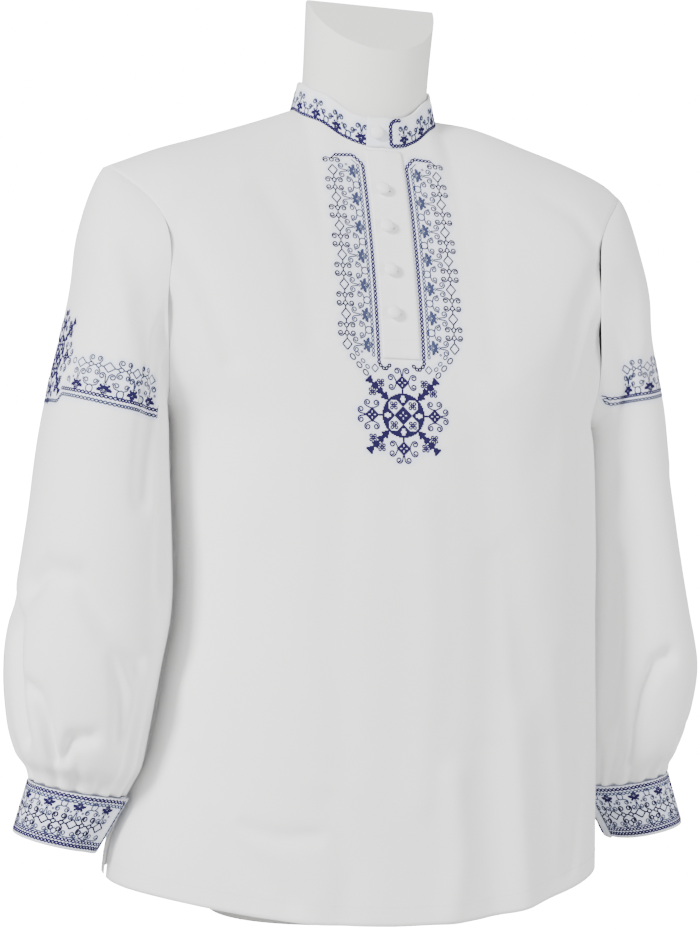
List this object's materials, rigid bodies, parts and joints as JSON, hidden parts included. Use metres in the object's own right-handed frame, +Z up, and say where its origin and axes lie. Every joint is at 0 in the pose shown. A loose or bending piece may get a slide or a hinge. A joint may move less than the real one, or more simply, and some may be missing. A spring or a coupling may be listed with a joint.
{
  "type": "embroidered folk shirt on a torso form",
  "caption": "White long-sleeved folk shirt with blue counted-thread embroidery, stand collar and buttoned placket, worn on a headless torso form",
  "frame": {"origin": "the middle of the form's flat foot, on the surface that it stands on", "axes": "+X to the viewer's right (the wearer's left), -Y the front of the shirt, +Z up"},
  "size_m": [0.6781, 0.28, 0.844],
  "materials": {
    "cotton": "matte",
    "banded_cotton": "matte",
    "button_cloth": "matte",
    "form_shell": "satin"
  },
  "bodies": {
    "root": {"shirt_front": "cotton", "shirt_back": "cotton", "sleeve_left": "cotton", "sleeve_right": "cotton", "cuff_left": "banded_cotton", "cuff_right": "banded_cotton", "collar": "banded_cotton", "placket": "cotton", "button_collar": "button_cloth", "button_1": "button_cloth", "button_2": "button_cloth", "button_3": "button_cloth", "button_4": "button_cloth", "form": "form_shell"}
  },
  "joints": []
}
